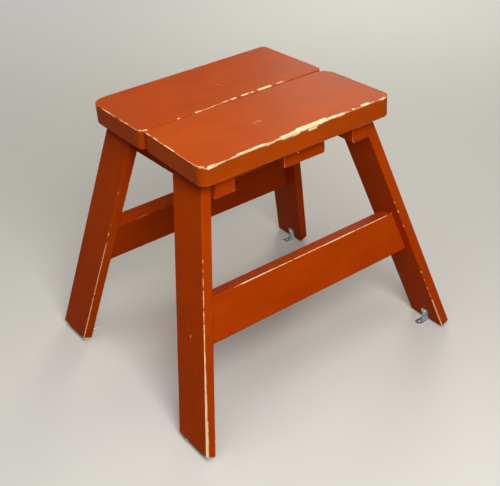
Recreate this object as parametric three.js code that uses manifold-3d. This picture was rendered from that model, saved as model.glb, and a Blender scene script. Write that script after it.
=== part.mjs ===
import * as THREE from 'three';
import { mergeVertices } from 'three/addons/utils/BufferGeometryUtils.js';
import Module from 'manifold-3d';

// A low plank stool. Two boards make the seat, three battens hold them together from below, four legs
// splay outward both ways, a rail joins the legs at the front and at the rear, and each foot has a
// corner brace and two nail-on glides. Millimetres, +Z up, +X along the seat boards, -Y at the front.
// The origin is on the floor, below the middle of the seat.

// Seat boards. A reach is from the stool's middle to a board's end. The front board's left end is sawn out
// of square, and falls short at the split by the skew.
const seatHeight = 503;
const boardWidth = 184;
const boardThickness = 36;
const boardArris = 4;
const frontBoardLeftReach = 206;
const frontBoardRightReach = 208;
const frontBoardSkew = 9;
const rearBoardLeftReach = 202;
const rearBoardRightReach = 205;
const splitGap = 2;
const frontBoardFrontLeftRadius = 18;
const frontBoardFrontRightRadius = 22;
const frontBoardSplitLeftRadius = 8;
const frontBoardSplitRightRadius = 26;
const rearBoardRearLeftRadius = 22;
const rearBoardRearRightRadius = 12;
const rearBoardSplitLeftRadius = 26;
const rearBoardSplitRightRadius = 12;

// Legs. A splay share is the outward run for each unit of drop.
const legWidth = 84;
const legThickness = 20;
const legArris = 2;
const sideSplayShare = 0.252;
const endSplayShare = 0.25;
const seatSideOverhang = 20.4;
const seatFrontOverhang = 32.6;
const footClearance = 3;
const footRise = 7.5;

// Battens under the seat. A setback is measured from the seat's front and rear faces.
const battenHeight = 38;
const battenArris = 3;
const battenCornerRadius = 5;
const endBattenWidth = 45;
const endBattenSetback = 18;
const centreBattenWidth = 91;
const centreBattenOffset = 25.5;
const centreBattenSetback = 26;

// Rails, leaning with the legs' edges. The setback is from the leg's outer edge to the rail's top outer
// arris, and the height is that arris's.
const railWidth = 82;
const railThickness = 33;
const railArris = 2;
const railHeight = 259;
const railSetback = 20.6;

// Countersunk wood screws
const screwShankRadius = 2.1;
const screwHeadRadius = 4.2;
const screwConeHeight = 2.6;
const screwRimHeight = 0.5;
const screwTipLength = 6;
const screwSink = 0.5;
const recessSpan = 4.4;
const recessWidth = 1.3;
const recessDepth = 1.8;
const legScrewLength = 40;
const legScrewDrop = 27;
const railScrewLength = 50;
const seatScrewLength = 58;
const endBattenScrewInset = 12;
const legScrewShares = [0.2, 0.45, 0.75];
const railScrewShares = [0.22, 0.82];
const seatScrewShares = [0.2, 0.62];

// Corner braces and their round-headed screws. A brace's place is a share of the leg's width from its outer
// edge.
const braceFlange = 28;
const braceWidth = 16;
const braceThickness = 2;
const braceInsideRadius = 1;
const braceArrisRadius = 0.25;
const braceCornerRadius = 5;
const braceHoleRadius = 2.2;
const braceHoleInset = 8;
const frontBracePlaceShare = 0.52;
const rearBracePlaceShare = 0.67;
const braceScrewShankRadius = 1.6;
const braceScrewHeadRadius = 3.4;
const braceScrewHeadHeight = 2.2;
const braceScrewLength = 16;
const braceScrewTipLength = 3;

// Nail-on glides. Their places are shares of the leg's width from its outer edge.
const glideRadius = 7.5;
const glideDome = 1.5;
const nailRadius = 1;
const nailLength = 16;
const nailTipLength = 2.5;
const glidePlaceShares = {
  front_left: [0.12, 0.76],
  front_right: [0.3, 0.81],
  rear_left: [0.14, 0.9],
  rear_right: [0.16, 0.82],
};

// Clearances, and the length by which every cutter runs past what it cuts
const jointGap = 0.3;
const screwClearance = 0.35;
const overrun = 40;

// Steps of round forms
const cornerSteps = 3;
const arrisSteps = 2;
const screwSides = 8;
const glideSides = 14;
const domeSteps = 3;

// Planes and edges that several pieces share
const seatUnderside = seatHeight - boardThickness;
const seatFrontY = boardWidth + splitGap / 2;
const legTopX = frontBoardLeftReach - seatSideOverhang;
const legTopY = seatFrontY - seatFrontOverhang;
const leanPerHeight = Math.hypot(1, sideSplayShare);
const legLean = Math.atan(sideSplayShare);
const legSpanY = legWidth * Math.hypot(leanPerHeight, endSplayShare) / leanPerHeight;
const innerFaceShiftY = endSplayShare * legThickness * Math.sin(legLean);
const reach = 2 * seatHeight;
const legOuterX = (z) => legTopX + (seatUnderside - z) * sideSplayShare;
const legInnerX = (z) => legOuterX(z) - legThickness * leanPerHeight;
const legEdgeY = (z) => legTopY + (seatUnderside - z) * endSplayShare;

// The four corners of the stool: side is -1 at the left and 1 at the right, end is -1 at the front.
const corners = [
  { name: 'front_left', side: -1, end: -1 },
  { name: 'front_right', side: 1, end: -1 },
  { name: 'rear_left', side: -1, end: 1 },
  { name: 'rear_right', side: 1, end: 1 },
];

const wasm = await Module();
wasm.setup();

const stool = new THREE.Group();

// Materials
const topPaint = () => new THREE.MeshStandardMaterial({ color: '#bb4f1e', roughness: 0.4, metalness: 0 });
const framePaint = () => new THREE.MeshStandardMaterial({ color: '#9c3a0e', roughness: 0.5, metalness: 0 });
const zincPlate = () => new THREE.MeshStandardMaterial({ color: '#8f989a', roughness: 0.4, metalness: 0.9 });
const whitePlastic = () => new THREE.MeshStandardMaterial({ color: '#e6e0d2', roughness: 0.5, metalness: 0 });

// A closed solid from a geometry: shared corners are merged and empty triangles left out.
function solidFrom(geometry) {
  const bare = geometry.clone();
  bare.deleteAttribute('normal');
  bare.deleteAttribute('uv');
  const merged = mergeVertices(bare);
  const triangles = [];
  for (let i = 0; i < merged.index.count; i += 3) {
    const [a, b, c] = [0, 1, 2].map((k) => merged.index.getX(i + k));
    if (a !== b && b !== c && c !== a) triangles.push(a, b, c);
  }
  const vertProperties = new Float32Array(merged.attributes.position.array);
  const triVerts = new Uint32Array(triangles);
  return new wasm.Manifold(new wasm.Mesh({ numProp: 3, vertProperties, triVerts }));
}

function geometryFrom(solid) {
  const mesh = solid.getMesh();
  const geometry = new THREE.BufferGeometry();
  geometry.setAttribute('position', new THREE.BufferAttribute(new Float32Array(mesh.vertProperties), 3));
  geometry.setIndex(new THREE.BufferAttribute(new Uint32Array(mesh.triVerts), 1));
  geometry.computeVertexNormals();
  return geometry;
}

// A solid of a geometry that is drawn in its own frame and cut in the stool's
function placedSolid(geometry, frame) {
  return solidFrom(geometry.clone().applyMatrix4(frame));
}

function addPiece(name, geometry, frame, material, cuts) {
  const cutSolid = cuts.reduce((solid, cut) => solid.subtract(cut), placedSolid(geometry, frame));
  const ownGeometry = geometryFrom(cutSolid).applyMatrix4(frame.clone().invert());
  const mesh = new THREE.Mesh(ownGeometry, material);
  mesh.name = name;
  mesh.applyMatrix4(frame);
  stool.add(mesh);
}

// Everything past a plane, on the side that its normal points to
function halfSpace(point, normal) {
  const unit = normal.clone().normalize();
  const turn = new THREE.Quaternion().setFromUnitVectors(new THREE.Vector3(0, 0, 1), unit);
  const centre = point.clone().addScaledVector(unit, reach / 2);
  const frame = new THREE.Matrix4().compose(centre, turn, new THREE.Vector3(1, 1, 1));
  return placedSolid(new THREE.BoxGeometry(2 * reach, 2 * reach, reach), frame);
}

// An outline through corner points in anticlockwise order, each rounded by its own radius
function roundedOutline(points, radii) {
  const shape = new THREE.Shape();
  points.forEach((point, i) => {
    const before = points[(i + points.length - 1) % points.length];
    const after = points[(i + 1) % points.length];
    const inward = before.clone().sub(point).normalize();
    const onward = after.clone().sub(point).normalize();
    const half = Math.acos(inward.dot(onward)) / 2;
    const convex = onward.cross(inward) > 0 ? 1 : -1;
    const middle = inward.clone().add(onward).normalize();
    const centre = point.clone().addScaledVector(middle, radii[i] / Math.sin(half));
    const start = point.clone().addScaledVector(inward, radii[i] / Math.tan(half)).sub(centre);
    const finish = point.clone().addScaledVector(onward, radii[i] / Math.tan(half)).sub(centre);
    shape.absarc(centre.x, centre.y, radii[i], start.angle(), finish.angle(), convex < 0);
  });
  return shape;
}

function rectangle(lowX, highX, lowY, highY) {
  return [
    new THREE.Vector2(lowX, lowY),
    new THREE.Vector2(highX, lowY),
    new THREE.Vector2(highX, highY),
    new THREE.Vector2(lowX, highY),
  ];
}

// A flat board from z = 0 up, with rounded corners in plan and rounded arrises above and below
function plank(points, radii, thickness, arris) {
  const geometry = new THREE.ExtrudeGeometry(roundedOutline(points, radii), {
    depth: thickness - 2 * arris,
    bevelThickness: arris,
    bevelSize: arris,
    bevelOffset: -arris,
    bevelSegments: arrisSteps,
    curveSegments: cornerSteps,
  });
  return geometry.translate(0, 0, arris);
}

// A board of one section with rounded long arrises, from z = start to z = finish
function bar(points, radius, start, finish) {
  const shape = roundedOutline(points, points.map(() => radius));
  const depth = finish - start;
  const geometry = new THREE.ExtrudeGeometry(shape, { depth, bevelEnabled: false, curveSegments: 1 });
  return geometry.translate(0, 0, start);
}

// A turned form about +Y, drawn from its lowest point to its highest
function turned(profile, sides) {
  return new THREE.LatheGeometry(profile.map(([radius, y]) => new THREE.Vector2(radius, y)), sides);
}

// A frame at a point with its +Y turned to a direction
function pointingFrame(point, direction) {
  const turn = new THREE.Quaternion().setFromUnitVectors(new THREE.Vector3(0, 1, 0), direction);
  return new THREE.Matrix4().compose(point, turn, new THREE.Vector3(1, 1, 1));
}

function levelFrame(x, y, z) {
  return new THREE.Matrix4().setPosition(x, y, z);
}

// Planes that cut the timber to fit
const underSeat = halfSpace(new THREE.Vector3(0, 0, seatUnderside - jointGap), new THREE.Vector3(0, 0, 1));
const belowFloor = halfSpace(new THREE.Vector3(0, 0, 0), new THREE.Vector3(0, 0, -1));
function pastLegFace(side) {
  const normal = new THREE.Vector3(side, 0, sideSplayShare).normalize();
  const face = new THREE.Vector3(side * legInnerX(0), 0, 0);
  return halfSpace(face.addScaledVector(normal, -jointGap), normal);
}
const pastLegs = [pastLegFace(-1), pastLegFace(1)];

// The foot's sloping end, from its lower inner arris up to its outer one
const footInner = new THREE.Vector2(legInnerX(footClearance), footClearance);
const footOuter = new THREE.Vector2(legOuterX(footClearance + footRise), footClearance + footRise);
const footMiddle = footInner.clone().add(footOuter).divideScalar(2);
const footSlope = Math.atan2(footOuter.y - footInner.y, footOuter.x - footInner.x);
const footEdgeY = legEdgeY(footMiddle.y) - innerFaceShiftY / 2;
const footDown = (side) => new THREE.Vector3(side * Math.sin(footSlope), 0, -Math.cos(footSlope));
const footPoint = (side, y) => new THREE.Vector3(side * footMiddle.x, y, footMiddle.y);

// Countersunk screws: the shape from the tip up to the middle of the head, at y = 0
function screwProfile(length, growth, lift) {
  return [
    [0, -length - growth],
    [screwShankRadius + growth, screwTipLength - length],
    [screwShankRadius + growth, -screwRimHeight - screwConeHeight],
    [screwHeadRadius + growth, -screwRimHeight],
    [screwHeadRadius + growth, lift],
    [0, lift],
  ];
}

const holes = [];
const screws = [];
function planScrew(name, point, outward, length) {
  const frame = pointingFrame(point, outward);
  screws.push({ name, frame, length });
  holes.push(placedSolid(turned(screwProfile(length, screwClearance, overrun), screwSides), frame));
}

function crossRecess(frame) {
  const long = new THREE.BoxGeometry(recessSpan, 2 * recessDepth, recessWidth);
  const across = new THREE.BoxGeometry(recessWidth, 2 * recessDepth, recessSpan);
  return [placedSolid(long, frame), placedSolid(across, frame)];
}

// Screws driven level through the legs, three into the end batten and two into the rail
function levelScrewX(z) {
  return legOuterX(z) - screwHeadRadius * sideSplayShare - screwSink;
}

const railTopY = legEdgeY(railHeight) - innerFaceShiftY - railSetback;
const railSlant = Math.hypot(1, endSplayShare);

for (const { name, side, end } of corners) {
  const outward = new THREE.Vector3(side, 0, 0);
  const legScrewZ = seatUnderside - legScrewDrop;
  legScrewShares.forEach((share, i) => {
    const y = end * (legEdgeY(legScrewZ) - share * legSpanY);
    const point = new THREE.Vector3(side * levelScrewX(legScrewZ), y, legScrewZ);
    planScrew(`leg_screw_${name}_${i + 1}`, point, outward, legScrewLength);
  });
  railScrewShares.forEach((share, i) => {
    const drop = share * railWidth / railSlant;
    const middleY = railTopY + drop * endSplayShare - railThickness * railSlant / 2;
    const z = railHeight - drop;
    const point = new THREE.Vector3(side * levelScrewX(z), end * middleY, z);
    planScrew(`rail_screw_${name}_${i + 1}`, point, outward, railScrewLength);
  });
}

// Screws driven up through the battens into the seat boards
const battenUnderside = seatUnderside - jointGap - battenHeight;
const endBattenInnerX = legInnerX(battenUnderside) - jointGap * leanPerHeight - endBattenWidth;
const endBattenScrewX = endBattenInnerX + endBattenScrewInset;
const battens = [
  { name: 'left', screwX: -endBattenScrewX },
  { name: 'centre', screwX: centreBattenOffset },
  { name: 'right', screwX: endBattenScrewX },
];
const boardEnds = [['front', -1], ['rear', 1]];
for (const batten of battens) {
  for (const [board, end] of boardEnds) {
    seatScrewShares.forEach((share, i) => {
      const y = end * (splitGap / 2 + share * boardWidth);
      const point = new THREE.Vector3(batten.screwX, y, battenUnderside + screwSink);
      const name = `seat_screw_${batten.name}_${board}_${i + 1}`;
      planScrew(name, point, new THREE.Vector3(0, 0, -1), seatScrewLength);
    });
  }
}

// Corner braces: a strip bent up along the leg's inner face, drawn with +X inward and +Y up
const braceRise = new THREE.Vector2(Math.sin(legLean), Math.cos(legLean));
const braceAway = new THREE.Vector2(Math.cos(legLean), -Math.sin(legLean));
const braceInsideX = (braceThickness + braceThickness * Math.sin(legLean)) / Math.cos(legLean);
const braceOutline = [
  new THREE.Vector2(0, 0),
  new THREE.Vector2(braceFlange, 0),
  new THREE.Vector2(braceFlange, braceThickness),
  new THREE.Vector2(braceInsideX, braceThickness),
  braceRise.clone().multiplyScalar(braceFlange).addScaledVector(braceAway, braceThickness),
  braceRise.clone().multiplyScalar(braceFlange),
];
const braceOutsideRadius = braceInsideRadius + braceThickness;
const braceRadii = [braceOutsideRadius, braceArrisRadius, braceArrisRadius, braceInsideRadius,
  braceArrisRadius, braceArrisRadius];

function braceFrame(side, end) {
  const cornerX = side * (legInnerX(0) - jointGap * leanPerHeight);
  const placeShare = end < 0 ? frontBracePlaceShare : rearBracePlaceShare;
  const y = end * (legEdgeY(0) - innerFaceShiftY - placeShare * legSpanY);
  const inward = new THREE.Vector3(-side, 0, 0);
  const up = new THREE.Vector3(0, 0, 1);
  const along = new THREE.Vector3().crossVectors(inward, up);
  return new THREE.Matrix4().makeBasis(inward, up, along).setPosition(cornerX, y, 0);
}

function braceGeometry() {
  const shape = roundedOutline(braceOutline, braceRadii);
  const options = { depth: braceWidth, bevelEnabled: false, curveSegments: 1 };
  const strip = solidFrom(new THREE.ExtrudeGeometry(shape, options).translate(0, 0, -braceWidth / 2));
  const halfWidth = braceWidth / 2;
  const plan = rectangle(-overrun, braceFlange, -halfWidth, halfWidth);
  const planRadii = [braceArrisRadius, braceCornerRadius, braceCornerRadius, braceArrisRadius];
  const planOptions = { depth: 2 * overrun, bevelEnabled: false, curveSegments: arrisSteps };
  const prism = new THREE.ExtrudeGeometry(roundedOutline(plan, planRadii), planOptions);
  const upright = prism.clone().translate(0, 0, -overrun).rotateX(-Math.PI / 2);
  const leaning = prism.translate(0, 0, -overrun).rotateX(-Math.PI / 2).rotateZ(Math.PI / 2 - legLean);
  return geometryFrom(strip.intersect(solidFrom(upright)).intersect(solidFrom(leaning)));
}

// The brace's two holes: one down through the floor flange, one square through the upright one
const braceHoleReach = braceFlange - braceHoleInset;
function braceHoles(frame) {
  const drill = new THREE.CylinderGeometry(braceHoleRadius, braceHoleRadius, overrun, screwSides);
  const floorHole = drill.clone().translate(braceHoleReach, 0, 0);
  const wallHole = drill.rotateZ(Math.PI / 2 - legLean)
    .translate(braceRise.x * braceHoleReach, braceRise.y * braceHoleReach, 0);
  return [placedSolid(floorHole, frame), placedSolid(wallHole, frame)];
}

function braceScrewFrame(frame) {
  const seatOffset = braceThickness + jointGap;
  const local = braceRise.clone().multiplyScalar(braceHoleReach).addScaledVector(braceAway, seatOffset);
  const point = new THREE.Vector3(local.x, local.y, 0).applyMatrix4(frame);
  const direction = new THREE.Vector3(braceAway.x, braceAway.y, 0).transformDirection(frame);
  return pointingFrame(point, direction);
}

// Round-headed screws: y = 0 is the underside of the head
function roundScrewProfile(growth) {
  return [
    [0, -braceScrewLength - growth],
    [braceScrewShankRadius + growth, braceScrewTipLength - braceScrewLength],
    [braceScrewShankRadius + growth, 0],
    [braceScrewHeadRadius, 0],
    [braceScrewHeadRadius * Math.cos(Math.PI / 8), braceScrewHeadHeight / 2],
    [braceScrewHeadRadius * Math.cos(Math.PI / 4), braceScrewHeadHeight],
    [0, braceScrewHeadHeight],
  ];
}

// Glides: y = 0 is the face against the foot, the nail runs up from it and the dome hangs below
const glideRimHeight = (footMiddle.y - glideRadius * Math.sin(footSlope)) / Math.cos(footSlope);
function glideProfile() {
  const dome = [];
  for (let step = 0; step < domeSteps; step += 1) {
    const angle = Math.PI / 2 * step / domeSteps;
    dome.push([glideRadius * Math.sin(angle), -glideRimHeight - glideDome * Math.cos(angle)]);
  }
  return [
    ...dome,
    [glideRadius, -glideRimHeight],
    [glideRadius, 0],
    [nailRadius, 0],
    [nailRadius, nailLength - nailTipLength],
    [0, nailLength],
  ];
}

function nailHoleProfile() {
  return [
    [0, -overrun],
    [nailRadius + screwClearance, -overrun],
    [nailRadius + screwClearance, nailLength - nailTipLength],
    [0, nailLength + screwClearance],
  ];
}

for (const { name, side, end } of corners) {
  glidePlaceShares[name].forEach((share, i) => {
    const foot = footPoint(side, end * (footEdgeY - share * legSpanY));
    const seat = foot.addScaledVector(footDown(side), jointGap);
    const frame = pointingFrame(seat, footDown(side).negate());
    holes.push(placedSolid(turned(nailHoleProfile(), screwSides), frame));
    addPiece(`glide_${name}_${i + 1}`, turned(glideProfile(), glideSides), frame, whitePlastic(), [belowFloor]);
  });
  const frame = braceFrame(side, end);
  const screwFrame = braceScrewFrame(frame);
  holes.push(placedSolid(turned(roundScrewProfile(screwClearance), screwSides), screwFrame));
  addPiece(`brace_${name}`, braceGeometry(), frame, zincPlate(), braceHoles(frame));
  const recess = crossRecess(screwFrame.clone().multiply(levelFrame(0, braceScrewHeadHeight, 0)));
  const roundScrew = turned(roundScrewProfile(0), screwSides);
  addPiece(`brace_screw_${name}`, roundScrew, screwFrame, zincPlate(), recess);
}

for (const { name, frame, length } of screws) {
  addPiece(name, turned(screwProfile(length, 0, 0), screwSides), frame, zincPlate(), crossRecess(frame));
}

// Seat boards
function addSeatBoard(name, points, radii) {
  const geometry = plank(points, radii, boardThickness, boardArris);
  addPiece(name, geometry, levelFrame(0, 0, seatUnderside), topPaint(), holes);
}
const frontBoardPoints = rectangle(-frontBoardLeftReach, frontBoardRightReach, -seatFrontY, -splitGap / 2);
frontBoardPoints[3].x += frontBoardSkew;
addSeatBoard('seat_board_front', frontBoardPoints, [
  frontBoardFrontLeftRadius, frontBoardFrontRightRadius, frontBoardSplitRightRadius, frontBoardSplitLeftRadius,
]);
const rearBoardPoints = rectangle(-rearBoardLeftReach, rearBoardRightReach, splitGap / 2, seatFrontY);
addSeatBoard('seat_board_rear', rearBoardPoints, [
  rearBoardSplitLeftRadius, rearBoardSplitRightRadius, rearBoardRearRightRadius, rearBoardRearLeftRadius,
]);

// Battens: the end ones are bevelled to the legs' lean, the centre one is square
function addBatten(name, lowX, highX, setback, cuts) {
  const points = rectangle(lowX, highX, setback - seatFrontY, seatFrontY - setback);
  const geometry = plank(points, points.map(() => battenCornerRadius), battenHeight, battenArris);
  addPiece(name, geometry, levelFrame(0, 0, battenUnderside), framePaint(), [...cuts, ...holes]);
}
const endBattenOuterX = endBattenInnerX + endBattenWidth + battenCornerRadius;
addBatten('batten_left', -endBattenOuterX, -endBattenInnerX, endBattenSetback, pastLegs);
addBatten('batten_right', endBattenInnerX, endBattenOuterX, endBattenSetback, pastLegs);
const centreBattenLowX = centreBattenOffset - centreBattenWidth / 2;
const centreBattenHighX = centreBattenOffset + centreBattenWidth / 2;
addBatten('batten_centre', centreBattenLowX, centreBattenHighX, centreBattenSetback, []);

// Legs: drawn along +Z with +X outward through the thickness and +Y across the width
for (const { name, side, end } of corners) {
  const up = new THREE.Vector3(-side * sideSplayShare, -end * endSplayShare, 1).normalize();
  const outward = new THREE.Vector3(side, 0, sideSplayShare).normalize();
  const across = new THREE.Vector3().crossVectors(up, outward);
  const middle = new THREE.Vector3(side * legTopX, end * legTopY, seatUnderside);
  middle.addScaledVector(across, -side * end * legWidth / 2);
  const frame = new THREE.Matrix4().makeBasis(outward, across, up).setPosition(middle);
  const section = rectangle(-legThickness, 0, -legWidth / 2, legWidth / 2);
  const geometry = bar(section, legArris, -seatUnderside / up.z - overrun, overrun);
  const footCut = halfSpace(footPoint(side, 0), footDown(side));
  addPiece(`leg_${name}`, geometry, frame, framePaint(), [underSeat, footCut, ...holes]);
}

// Rails: drawn along +Z with +X outward through the thickness and +Y up
for (const [name, end] of boardEnds) {
  const outward = new THREE.Vector3(0, end, endSplayShare).normalize();
  const up = new THREE.Vector3(0, -end * endSplayShare, 1).normalize();
  const along = new THREE.Vector3().crossVectors(outward, up);
  const frame = new THREE.Matrix4().makeBasis(outward, up, along).setPosition(0, end * railTopY, railHeight);
  const section = rectangle(-railThickness, 0, -railWidth, 0);
  const geometry = bar(section, railArris, -legOuterX(0), legOuterX(0));
  addPiece(`rail_${name}`, geometry, frame, framePaint(), [...pastLegs, ...holes]);
}

export default stool;
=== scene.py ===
import math

import bmesh
import bpy
from mathutils import Matrix, Vector, noise


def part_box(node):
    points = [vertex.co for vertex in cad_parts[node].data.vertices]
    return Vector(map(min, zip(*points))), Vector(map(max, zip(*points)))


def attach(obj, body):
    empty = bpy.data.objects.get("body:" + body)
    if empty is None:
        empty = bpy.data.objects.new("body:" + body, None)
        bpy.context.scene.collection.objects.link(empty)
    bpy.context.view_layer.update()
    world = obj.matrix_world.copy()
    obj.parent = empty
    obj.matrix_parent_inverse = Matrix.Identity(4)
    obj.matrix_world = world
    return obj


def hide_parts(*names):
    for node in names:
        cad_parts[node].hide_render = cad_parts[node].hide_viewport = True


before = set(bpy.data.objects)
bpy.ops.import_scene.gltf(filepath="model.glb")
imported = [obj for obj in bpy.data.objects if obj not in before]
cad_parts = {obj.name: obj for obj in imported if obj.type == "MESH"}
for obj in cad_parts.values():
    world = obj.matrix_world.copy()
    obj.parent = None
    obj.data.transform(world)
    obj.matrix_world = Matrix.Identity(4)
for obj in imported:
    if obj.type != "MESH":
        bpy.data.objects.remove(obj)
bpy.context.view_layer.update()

# A worn, painted plank stool. Metres, +X along the seat boards, -Y at the front, +Z up.

# Camera: its place, its turns in radians and its focal length in pixels of the photograph
PHOTO_WIDTH = 500
CAMERA_PLACE = Vector((-0.871, -1.2653, 1.1423))
CAMERA_YAW = 0.60705
CAMERA_PITCH = 0.55138
CAMERA_ROLL = -0.07098
CAMERA_FOCAL_PIXELS = 914.2
SENSOR_WIDTH = 36

# Timber. A splay share is the outward run for each unit of drop.
SIDE_SPLAY_SHARE = 0.252
END_SPLAY_SHARE = 0.25
LEG_WIDTH = 0.084
LEG_THICKNESS = 0.020
SEAT_SIDE_OVERHANG = 0.0204
SEAT_FRONT_OVERHANG = 0.0326
FOOT_CLEARANCE = 0.003
FOOT_RISE = 0.0075
RAIL_WIDTH = 0.082
RAIL_THICKNESS = 0.033
RAIL_HEIGHT = 0.259
RAIL_SETBACK = 0.0206
BOARD_ARRIS = 0.004
BATTEN_ARRIS = 0.003
LEG_ARRIS = 0.002
END_ARRIS = 0.0007
JOINT_GAP = 0.0003

# How fine the meshes are. Grid spacings run along, across and through the timber, with closer lines near
# its edges
ARRIS_STEPS = 5
FINE_ARRIS_STEPS = 2
LEAST_CORNER_STEPS = 3
ROUND_STEPS = 8
BOARD_OUTLINE_SPACING = 0.0014
BRACE_OUTLINE_SPACING = 0.0008
BOARD_GRID = (0.0036, 0.007, 0.006)
NEAR_BOARD_EDGE = (0.0054, 0.007, 0.0086, 0.0104, 0.0122, 0.014)
TIMBER_GRID = (0.004, 0.012, 0.012)
NEAR_TIMBER_END = (0.0016, 0.003)
NEAR_ARRIS_SHARES = (1.6, 2.5)
SCREW_SIDES = 16
BORE_SIDES = 24
BRACE_SIDES = 32
GLIDE_SIDES = 48
MERGE_DISTANCE = 0.00003
SAW_SURPLUS = 0.02
TINY = 0.000001
SHARP_ANGLE = 1

# A leg is sawn from a length between these shares of the underside's height, from its top
LEG_BLANK_SHARES = (-1.2, 0.1)

# Corner radii of the seat boards, by the signs of x and y at the corner
BOARD_RADII = {
    "front": {(-1, -1): 0.018, (1, -1): 0.022, (1, 1): 0.026, (-1, 1): 0.008},
    "rear": {(-1, -1): 0.015, (1, -1): 0.012, (1, 1): 0.012, (-1, 1): 0.030},
}

# The boards' left ends are sawn out of square. Each falls short by this much at one corner: at the split
# where it is above zero, at the outer edge where it is below
BOARD_SKEW = {"front": 0.009, "rear": -0.003}

# How far each board's split edge draws back at the right
SPLIT_TAPER = 0.0008

# Countersunk screws
SCREW_HEAD_RADIUS = 0.0042
SCREW_SHANK_RADIUS = 0.0021
SCREW_CONE_HEIGHT = 0.0026
SCREW_RIM_HEIGHT = 0.0005
SCREW_CONE_BOTTOM = -SCREW_RIM_HEIGHT - SCREW_CONE_HEIGHT
SCREW_TIP_LENGTH = 0.006
SCREW_CLEARANCE = 0.0001
SCREW_BORE_LIFT = 0.02
THREAD_START = 0.004
THREAD_PITCH = 0.0025
THREAD_STEPS = 6
THREAD_DEPTH = 0.0006
THREAD_CREST_SHARE = 0.5
SCREW_POINT_SHARE = 0.15
RECESS_SPAN = 0.0044
RECESS_WIDTH = 0.0013
RECESS_DEPTH = 0.0018
RECESS_TAPER_SHARE = 0.5
PAINTED_RECESS_DEPTH = 0.0006
NAIL_HOLE_RADIUS = 0.0013
NAIL_HOLE_DEPTH = 0.012
FILLER_HEIGHT = 0.004
FILLER_DIP = 0.0004
FILLER_SHARE = 0.97
FILLER_SEAM_DEPTH = 0.0001

# Corner braces and their round-headed screws
BRACE_FLANGE = 0.028
BRACE_WIDTH = 0.016
BRACE_THICKNESS = 0.002
BRACE_OUTSIDE_RADIUS = 0.003
BRACE_CORNER_RADIUS = 0.005
BRACE_ARRIS = 0.0004
BRACE_HOLE_RADIUS = 0.0022
BRACE_HOLE_INSET = 0.008
BRACE_PLACE_SHARES = {-1: 0.52, 1: 0.67}
BRACE_SCREW_HEAD_RADIUS = 0.0034
BRACE_SCREW_HEAD_HEIGHT = 0.0022
BRACE_SCREW_SHANK_RADIUS = 0.0016
BRACE_SCREW_LENGTH = 0.016
BRACE_SCREW_TIP_LENGTH = 0.003

# Nail-on glides, with places as shares of the leg's width from its outer edge
GLIDE_RADIUS = 0.0075
GLIDE_DOME = 0.0015
GLIDE_ARRIS = 0.0008
GLIDE_ARRIS_STEPS = 4
NAIL_RADIUS = 0.001
NAIL_LENGTH = 0.016
NAIL_TIP_LENGTH = 0.002
GLIDE_PLACE_SHARES = {
    "front_left": (0.12, 0.76), "front_right": (0.3, 0.81),
    "rear_left": (0.14, 0.9), "rear_right": (0.16, 0.82),
}

MILLIMETRE = 0.001

# Wear is kept on the timber as a number: how deep a point lies in a bare patch, over this range
WEAR_RANGE = 0.006

# How far off its face a scratch still marks the timber
SCRATCH_FACE_RANGE = 0.004

# Patches worn bare on the seat boards' top arrises, in millimetres: start and end along the outline from
# the middle of a left corner, front or rear, then the reach onto the top and down the side
FRONT_BOARD_FRONT_WEAR = [
    (-4, 5, 1.8, 2.6), (5, 11, -2, 4.6), (10, 25, 0.2, 6.8), (25, 31, -0.5, 5.6), (31, 44, -1, 4.4),
    (44, 56, -1.3, 3.2), (56, 66, -0.2, 3.6), (67, 96, 4, 3), (96, 127, 4.6, 2.8), (127, 135, 0.6, 4.4),
    (134, 145, 0, 3.6), (145, 159, 1.5, 2.4), (159, 184, 6, 4.8), (183, 196, 7.4, 5.6), (195, 215, 11.6, 3),
    (215, 234, 11, 7), (234, 248, 11, 2.6), (246, 262, 11.8, 1.6), (262, 282, 8, 1), (282, 296, 6.4, 2.2),
    (296, 308, 5.6, 0.2), (318, 323, 7.4, 0.6), (324, 336, 4.2, -0.8), (338, 358, 9, 0),
    (358, 366, 4.8, 0.5), (380, 394, 5.4, 1.4), (306, 398, 0.7, 0.4),
    (-9, -3, 2.4, 0.6), (-20, -10, 1.7, 0.5), (-33, -22, 2.4, 0.5), (-74, -36, 1.2, 0.4),
    (-114, -76, 3.2, 0.7), (-134, -114, 1.5, 0.5), (-151, -135, 3.2, 0.7), (-171, -156, 2.8, 0.9),
    (404, 412, 0.3, 2.2), (428, 474, -0.6, 3.2), (480, 492, -0.7, 3), (530, 572, -0.5, 3.4),
]
FRONT_BOARD_REAR_WEAR = [
    (-3, 4, 1, 3.4), (156, 166, 3, -1.4), (246, 258, 4.4, -0.6), (259, 268, 5, -1.6),
]
REAR_BOARD_FRONT_WEAR = [
    (-5, 2, 2.4, 1.2), (3, 12, 1.9, 1.4), (73, 80, 4.2, 1.4), (110, 122, 4.4, 1.4), (121, 152, 2.2, 0.6),
    (152, 172, 4.8, 0), (173, 185, 6, -0.2), (189, 204, 6.6, 0), (214, 231, 7.4, -0.2), (235, 242, 6.4, 0),
    (252, 284, 8, 0.4), (295, 311, 6.4, -0.2), (343, 355, 2.4, 0),
]
REAR_BOARD_REAR_WEAR = [
    (-27, -21, 2, 0.5), (-75, -42, 2.9, 0.8), (-92, -78, 2, 0.5), (-127, -104, 2, 0.5),
    (-134, -126, 3.4, 0.8), (-168, -134, 1.5, 0.4),
    (46, 58, -0.7, 3), (88, 96, -0.7, 3.4), (142, 208, -0.6, 3.2), (216, 262, -0.5, 3.8),
    (318, 334, -0.7, 3), (424, 446, -0.6, 3.4), (466, 508, -0.6, 3), (534, 548, -0.7, 3.2),
]

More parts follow.
